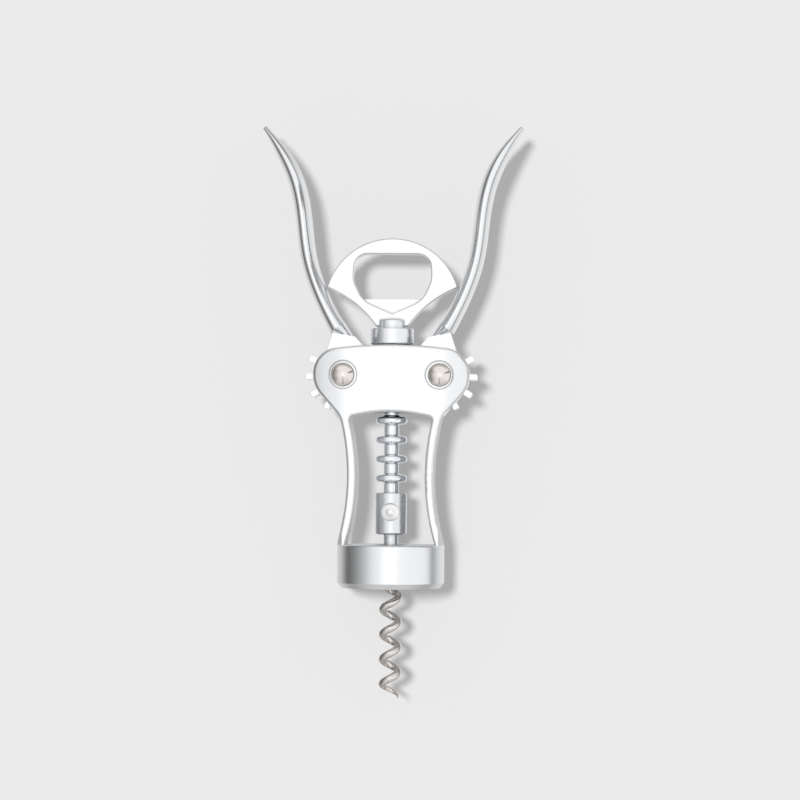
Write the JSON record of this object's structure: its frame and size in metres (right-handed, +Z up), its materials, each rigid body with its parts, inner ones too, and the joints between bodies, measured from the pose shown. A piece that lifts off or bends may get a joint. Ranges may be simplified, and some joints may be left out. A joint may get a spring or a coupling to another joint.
{
  "type": "wing corkscrew",
  "caption": "Double-lever wing corkscrew: bell that seats on a bottle neck, geared wings that lift a toothed rack, wire worm, and a turning handle with a crown-cap opener.",
  "frame": {"origin": "on the worm's axis, in the plane inside the bell that the bottle's lip stops against", "axes": "+Z up along the worm's axis from the point to the handle, front faces -Y, +X to the right seen from the front, wings spread along X"},
  "size_m": [0.0818, 0.0334, 0.1782],
  "materials": {
    "cast_frame": "satin chrome on a zinc casting",
    "polished_lever": "polished chrome on a zinc casting",
    "cast_handle": "satin chrome on a zinc casting",
    "bright_collar": "bright chrome",
    "chromed_rack": "bright chrome on turned steel",
    "satin_socket": "satin chrome on turned steel",
    "bright_rivet": "bright steel",
    "nickel_rivet": "polished warm nickel plate on steel",
    "steel_pin": "plain steel",
    "nickel_wire": "nickel-plated steel wire",
    "guide_plastic": "pale grey moulded plastic"
  },
  "bodies": {
    "frame": {"frame": "cast_frame", "worm_guide": "guide_plastic", "left_pivot_rivet": "nickel_rivet", "right_pivot_rivet": "nickel_rivet", "left_pivot_cap": "nickel_rivet", "right_pivot_cap": "nickel_rivet"},
    "left_wing": {"left_wing": "polished_lever"},
    "right_wing": {"right_wing": "polished_lever"},
    "carriage": {"stop_collar": "bright_collar"},
    "screw": {"opener_handle": "cast_handle", "handle_pin": "steel_pin", "rack": "chromed_rack", "worm_socket": "satin_socket", "socket_rivet": "bright_rivet", "worm": "nickel_wire"}
  },
  "joints": [
    {"name": "left_wing_pivot", "type": "hinge", "parent": "frame", "child": "left_wing", "pos_m": [-0.015, 0, 0.056], "axis": [0, -1, 0], "range_deg": [0, 150]},
    {"name": "right_wing_pivot", "type": "hinge", "parent": "frame", "child": "right_wing", "pos_m": [0.015, 0, 0.056], "axis": [0, 1, 0], "range_deg": [0, 150]},
    {"name": "rack_lift", "type": "slide", "parent": "frame", "child": "carriage", "axis": [0, 0, 1], "range_m": [0, 0.0301]},
    {"name": "screw_turn", "type": "hinge", "parent": "carriage", "child": "screw", "pos_m": [0, 0, 0], "axis": [0, 0, 1], "continuous": true}
  ],
  "couplings": [
    {"joint": "right_wing_pivot", "follows": "left_wing_pivot", "ratio": 1},
    {"joint": "rack_lift", "follows": "left_wing_pivot", "m_per_rad": 0.011459}
  ]
}
